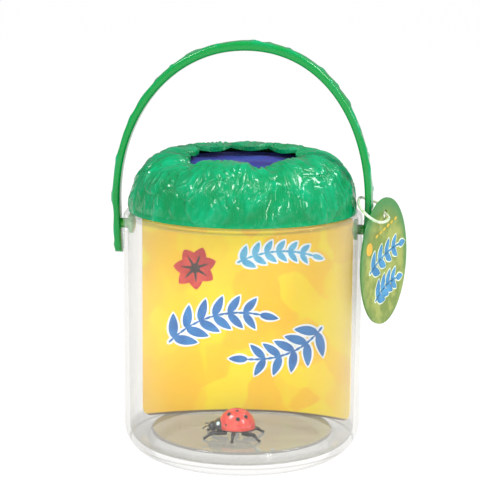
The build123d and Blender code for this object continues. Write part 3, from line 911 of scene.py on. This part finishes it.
def sprig(surface, start, end, sag, pairs, length, width, spread, layer, grow):
    """Leaves in pairs along a bowed stem, and one at its tip."""
    run = (end[0] - start[0], end[1] - start[1])
    reach = sqrt(run[0] ** 2 + run[1] ** 2)
    heading = atan2(run[1], run[0])

    def on_stem(share):
        bow = sag * 4 * share * (1 - share)
        point = (start[0] + run[0] * share - sin(heading) * bow,
                 start[1] + run[1] * share + cos(heading) * bow)
        return point, heading + atan2(sag * 4 * (1 - 2 * share), reach)

    shapes = []
    for i in range(pairs + 1):
        share = (i + 0.4) / (pairs + 0.4)
        point, lean = on_stem(share)
        size = length * (1 - 0.25 * share)
        for turn in [lean] if i == pairs else [lean + spread, lean - spread]:
            shapes.append(printed_leaf(surface, point, turn, size, width * size / length, layer, grow))
    for i in range(STEM_PIECES):
        point, lean = on_stem(i / STEM_PIECES)
        shapes.append(printed_leaf(surface, point, lean, reach / STEM_PIECES * 1.3, STEM_WIDTH, layer, grow))
    return shapes


def print_sprig(name, surface, shape, border, inks, body):
    """A sprig in one ink on its border in another."""
    finish_print(name + "_border", sprig(surface, *shape, 1, border), inks[0], body)
    finish_print(name, sprig(surface, *shape, 2, 0), inks[1], body)


def make_card():
    """The bowed card, with rounded corners."""
    low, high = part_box("display_card")

    def arc(half, bow):
        bend = card_bend(half, bow)
        return bend * asin(half / bend)

    def corner(side, size):
        """How far the corner has rounded away, at a distance in from the card's side."""
        return size - np.sqrt(size ** 2 - np.clip(size - side, 0, size) ** 2)

    left, right = arc(CARD_HALF, CARD_BOW), arc(CARD_RIGHT_HALF, CARD_RIGHT_BOW)

    def place(across, around):
        reach = (1 - np.cos(across * pi)) / 2
        x = reach * (left + right) - left
        side = np.minimum(x + left, right - x)
        bottom, top = low.z + corner(side, CARD_FOOT_ROUND), high.z - corner(side, CARD_TOP_ROUND)
        up = 1 - abs(2 * around - 1)
        face = np.where(around < 0.5, 0, -CARD_THICK)
        face = np.where((side < 1e-6) | (up < 1e-6) | (up > 1 - 1e-6), -CARD_THICK / 2, face)
        return card_point(x, bottom + up * (top - bottom), face)

    board = grid("card_board", 240, 96, place)
    close_seams(board)
    smooth(board, 30)
    paint(board, printed_board())
    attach(board, "jar")
    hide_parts("display_card")


def make_card_print():
    """Generic leaf sprigs and one flower, in the print's colours and scale."""
    white = plain_ink("white_ink", (238, 246, 246), (255, 255, 255))
    pale_blue = plain_ink("pale_blue_ink", (70, 168, 214), (106, 192, 228))
    deep_blue = plain_ink("deep_blue_ink", (28, 104, 178), (50, 130, 200))
    red = plain_ink("red_ink", (196, 40, 36), (226, 74, 58))
    dark = plain_ink("dark_ink", (44, 28, 26), (80, 50, 44))
    sprigs = [("pale_6", pale_blue, ((-0.004, 0.0915), (0.036, 0.097), 0.0035, 6, 0.0085, 0.0036, 0.85)),
              ("deep_6", deep_blue, ((-0.04, 0.05), (0.008, 0.064), 0.006, 6, 0.0135, 0.005, 0.9)),
              ("deep_5", deep_blue, ((0.042, 0.06), (0.002, 0.04), 0.006, 5, 0.0135, 0.005, 0.9))]
    for name, ink, shape in sprigs:
        print_sprig("card_sprig_" + name, card_point, shape, 0.0011, (white, ink), "jar")
    middle = (-0.026, 0.089)
    petals, veins = [], []
    for i in range(7):
        turn = 2 * pi * i / 7 + 0.3
        petals.append(printed_leaf(card_point, middle, turn, 0.0115, 0.0082, 1))
        veins.append(printed_leaf(card_point, middle, turn, 0.0075, 0.0012, 2))
    finish_print("card_petals", petals, red, "jar")
    finish_print("card_petal_veins", veins, dark, "jar")
    heart = [printed_dot(card_point, middle, 0.0026, 3)]
    finish_print("card_flower_heart", heart, dark, "jar")


# Ladybug figure

def bug_point(ahead, aside, up):
    """A place on the figure, from its middle on the floor."""
    return BUG_PLACE + Matrix.Rotation(BUG_HEADING, 3, "Z") @ Vector((ahead, aside, up))


def ball(name, centre, size, segments=48, rings=24):
    bpy.ops.object.select_all(action="DESELECT")
    bpy.ops.mesh.primitive_uv_sphere_add(segments=segments, ring_count=rings, radius=1,
                                         location=centre, scale=size)
    return begin(name)


def cut_flat(piece, point, normal):
    """Cuts away what lies on the normal's side, and closes the cut."""
    only(piece)
    bpy.ops.object.mode_set(mode="EDIT")
    bpy.ops.mesh.select_all(action="SELECT")
    bpy.ops.mesh.bisect(plane_co=point, plane_no=normal, use_fill=True, clear_outer=True)
    bpy.ops.object.mode_set(mode="OBJECT")


def tube(name, points, sizes):
    """A bent leg or feeler: a smooth tapered tube through points."""
    only(strand(name, points, sizes, 1, 4, 8))
    bpy.ops.object.convert(target="MESH")
    return bpy.context.object


def make_wings():
    """The domed wing covers, parted by a groove."""
    middle = bug_point(0, 0, BUG_CLEAR + BUG_TUCK)
    size = (BUG_LENGTH / 2, BUG_WIDTH / 2, BUG_DOME)
    wings = ball("bug_wings", middle, size, 96, 64)
    points = points_of(wings)
    offset = points - np.array(middle)
    groove = np.exp(-(offset[:, 1] / 0.00045) ** 2) * (offset[:, 2] > 0)
    tail = (offset[:, 0] / (BUG_LENGTH / 2)).clip(0, 1)
    points[:, 2] -= groove * 0.00045
    points[:, 1] -= offset[:, 1] * 0.1 * tail ** 2
    move_points(wings, points)
    cut_flat(wings, bug_point(0, 0, BUG_CLEAR), (0, 0, -1))
    smooth(wings, 60)
    shell_spots = []
    for ahead, aside, radius in BUG_SPOTS:
        for side in (-1, 1):
            flat = (2 * ahead / BUG_LENGTH) ** 2 + (2 * aside / BUG_WIDTH) ** 2
            up = BUG_CLEAR + BUG_TUCK + BUG_DOME * sqrt(max(0, 1 - flat))
            shell_spots.append((bug_point(ahead, side * aside, up), radius))
    paint(wings, wing_paint(shell_spots))
    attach(wings, "ladybug")
    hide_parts("ladybug_shell")


def make_underside():
    """Belly, head, feelers and legs, as one piece."""
    front = BUG_LENGTH / 2
    belly = ball("bug_belly", bug_point(0, 0, BUG_CLEAR), (front - 0.0008, BUG_WIDTH / 2 - 0.0008, 0.0019))
    cut_flat(belly, bug_point(0, 0, BUG_CLEAR - 0.00002), (0, 0, 1))
    collar = ball("bug_collar", bug_point(front - 0.0009, 0, BUG_CLEAR + 0.0014), (0.0033, 0.0051, 0.0034))
    head = ball("bug_head", bug_point(front + 0.0028, 0, BUG_CLEAR + 0.0004), (0.0024, 0.0031, 0.0025))
    parts = [belly, collar, head]
    for side in (-1, 1):
        eye = bug_point(front + 0.0036, side * 0.0021, BUG_CLEAR + 0.0009)
        parts.append(ball("bug_eye", eye, (0.0008,) * 3, 16, 10))
        feeler = [bug_point(front + 0.0042, side * 0.0011, BUG_CLEAR + 0.0008),
                  bug_point(front + 0.0062, side * 0.0026, BUG_CLEAR + 0.0012),
                  bug_point(front + 0.0072, side * 0.0048, BUG_CLEAR + 0.0002)]
        parts.append(tube("bug_feeler", feeler, [0.0003, 0.00025, 0.0004]))
        for hip, foot in BUG_LEGS:
            root, toe = Vector((hip[0], side * hip[1])), Vector((foot[0], side * foot[1]))
            leg = [bug_point(*root.lerp(toe, share), up) for share, up, thick in BUG_LEG_SHAPE]
            parts.append(tube("bug_leg", leg, [thick for share, up, thick in BUG_LEG_SHAPE]))
    body = joined("bug_underside", parts)
    smooth(body, 60)
    patches = [(bug_point(front - 0.0002, side * 0.0042, BUG_CLEAR + 0.003), 0.0012) for side in (-1, 1)]
    patches += [(bug_point(front + 0.0042, side * 0.0012, BUG_CLEAR + 0.0018), 0.0005) for side in (-1, 1)]
    paint(body, bug_black(patches))
    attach(body, "ladybug")
    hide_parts("ladybug_body")


# Hang tag, its loop and its lock

def make_tag():
    """The oval tag, with its hole, and a generic print on its outer face."""
    hole = Vector((0, TAG_HEIGHT / 2 - TAG_HOLE_DROP))
    rows = 2 * TAG_FACE_ROWS

    def place(around, through):
        turn = around * 2 * pi
        row = np.round(through * rows)  # across the front, across the back, and back through the hole
        face = np.where((row < TAG_FACE_ROWS) | (row == rows), 0, -TAG_THICK)
        reach = np.where(row < TAG_FACE_ROWS, row, np.maximum(rows - 1 - row, 0)) / (TAG_FACE_ROWS - 1)
        x = TAG_WIDTH / 2 * np.cos(turn)
        z = TAG_HEIGHT / 2 * np.sin(turn)
        aim = np.hypot(x - hole.x, z - hole.y)
        near_x = hole.x + (x - hole.x) / aim * TAG_HOLE_RADIUS
        near_z = hole.y + (z - hole.y) / aim * TAG_HOLE_RADIUS
        flat_x, flat_z = near_x + (x - near_x) * reach, near_z + (z - near_z) * reach
        return tag_point(flat_x, flat_z, face)

    board = grid("tag_board", 160, rows, place)
    close_seams(board)
    smooth(board, 30)
    paint(board, tag_print())
    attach(board, "hang_tag")
    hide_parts("hang_tag")
    white = plain_ink("tag_white_ink", (196, 206, 172), (220, 228, 202))
    blue = plain_ink("tag_blue_ink", (40, 112, 160), (70, 142, 186))
    yellow = plain_ink("tag_yellow_ink", (186, 158, 44), (206, 178, 56))
    amber = plain_ink("tag_amber_ink", (206, 152, 40), (226, 178, 66))
    sprigs = [("upper", (-0.017, -0.004), (0.016, 0.006)), ("lower", (-0.01, -0.019), (0.014, -0.011))]
    for name, start, end in sprigs:
        shape = (start, end, 0.002, 4, 0.0098, 0.0046, 0.8)
        print_sprig("tag_sprig_" + name, tag_point, shape, 0.0007, (white, blue), "hang_tag")
    dabs = [printed_leaf(tag_point, (-0.011 + 0.0042 * i, 0.0135 + 0.0012 * i), 0.25, 0.0034, 0.0014, 1)
            for i in range(6)]
    finish_print("tag_dabs", dabs, yellow, "hang_tag")
    patch = [printed_dot(tag_point, (-0.0175, 0.0085), 0.0032, 1)]
    finish_print("tag_patch", patch, amber, "hang_tag")


def make_loop():
    """The loop through the tag's hole and around the handle's arm, and its lock's finish."""
    milky = milky_plastic()
    loop = strand("tag_loop_strand", LOOP_ROUTE, [1] * len(LOOP_ROUTE), LOOP_DIAMETER / 2, 5, 12)
    paint(loop, milky)
    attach(loop, "hang_tag")
    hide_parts("tag_loop")
    paint(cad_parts["tag_lock"], milky)


# The object

def dress_nodes():
    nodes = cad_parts
    paint(nodes["jar_body"], clear_plastic())
    paint(nodes["mesh_frame"], frame_plastic("frame_plastic", (0, 105, 55), (0, 135, 75)))
    paint(nodes["mesh_retainer"], frame_plastic("retainer_plastic", (12, 16, 60), (22, 30, 92)))
    domed = button_plastic()
    for name in ("pivot_button_left", "pivot_button_right"):
        paint(nodes[name], domed)


dress_nodes()
make_lid()
make_net()
make_handle()
make_card()
make_card_print()
make_wings()
make_underside()
make_tag()
make_loop()


# Camera, floor and light

CAMERA_TURN = radians(7.2)
CAMERA_REACH = 0.9
CAMERA_HEIGHT = 0.2779
CAMERA_PITCH = 0.186
CAMERA_ROLL = 0.007
CAMERA_LENS = 136.55
CAMERA_SHIFT = -2.96 / 480
FLOOR_GREY = (0.9, 0.9, 0.9, 1)
FLOOR_GLOW = 1.12
FLOOR_GLOW_SHARE = 0.85  # of the floor that glows where it is seen or mirrored
WORLD_LIGHT = 0.3
LAMP_AIM = Vector((0, 0, 0.1))


def place_camera():
    data = bpy.data.cameras.new("camera")
    data.lens = CAMERA_LENS
    data.sensor_width = 36
    data.shift_x = CAMERA_SHIFT
    camera = add_object("camera", data)
    turn = (Matrix.Rotation(CAMERA_TURN, 4, "Z") @ Matrix.Rotation(pi / 2 - CAMERA_PITCH, 4, "X")
            @ Matrix.Rotation(CAMERA_ROLL, 4, "Z"))
    place = Vector((CAMERA_REACH * sin(CAMERA_TURN), -CAMERA_REACH * cos(CAMERA_TURN), CAMERA_HEIGHT))
    camera.matrix_world = Matrix.Translation(place) @ turn
    bpy.context.scene.camera = camera


def lay_floor():
    """A pale floor that keeps a soft shadow and otherwise looks white."""
    bpy.ops.object.select_all(action="DESELECT")
    bpy.ops.mesh.primitive_plane_add(size=12, location=(0, 0, 0))
    floor = begin("studio_floor")
    material = bpy.data.materials.new("pale_floor")
    shading = Shading(material)
    seen = shading.node("ShaderNodeLightPath", {}, {}, "Is Camera Ray")
    mirrored = shading.node("ShaderNodeLightPath", {}, {}, "Is Glossy Ray")
    plain = shading.node("ShaderNodeBsdfDiffuse", {}, {"Color": FLOOR_GREY})
    glow = shading.node("ShaderNodeEmission", {}, {"Strength": FLOOR_GLOW})
    shading.show_mixed(seen.most(mirrored) * FLOOR_GLOW_SHARE, plain, glow,
                       "Principled BSDF", "Material Output")
    paint(floor, material)


def light_world():
    """Soft even light, seen as plain white by the camera."""
    world = bpy.data.worlds.new("studio")
    bpy.context.scene.world = world
    shading = Shading(world)
    seen = shading.node("ShaderNodeLightPath", {}, {}, "Is Camera Ray")
    soft, white = [shading.node("ShaderNodeBackground", {}, {"Color": (1, 1, 1, 1), "Strength": strength})
                   for strength in (WORLD_LIGHT, 1)]
    shading.show_mixed(seen, soft, white, "Background", "World Output")


def hang_lamp(name, place, size, power, mirrored=True):
    data = bpy.data.lights.new(name, "AREA")
    data.shape = "RECTANGLE"
    data.size, data.size_y = size
    data.energy = power
    lamp = add_object(name, data)
    lamp.visible_glossy = mirrored
    aim = LAMP_AIM - Vector(place)
    lamp.matrix_world = Matrix.Translation(place) @ aim.to_track_quat("-Z", "Y").to_matrix().to_4x4()


place_camera()
lay_floor()
light_world()
hang_lamp("key_lamp", (0.72, 0.1, 1.0), (0.26, 0.36), 10)
hang_lamp("side_lamp", (-0.62, -0.5, 0.95), (0.22, 0.4), 9)
hang_lamp("low_lamp", (0.8, -0.9, 0.6), (0.14, 0.4), 5)
hang_lamp("top_lamp", (0.1, 0.2, 1.2), (0.7, 0.5), 3, mirrored=False)
hang_lamp("front_lamp", (0.1, -1.5, 0.3), (1.0, 0.7), 10, mirrored=False)
bpy.context.scene.view_settings.view_transform = "Standard"
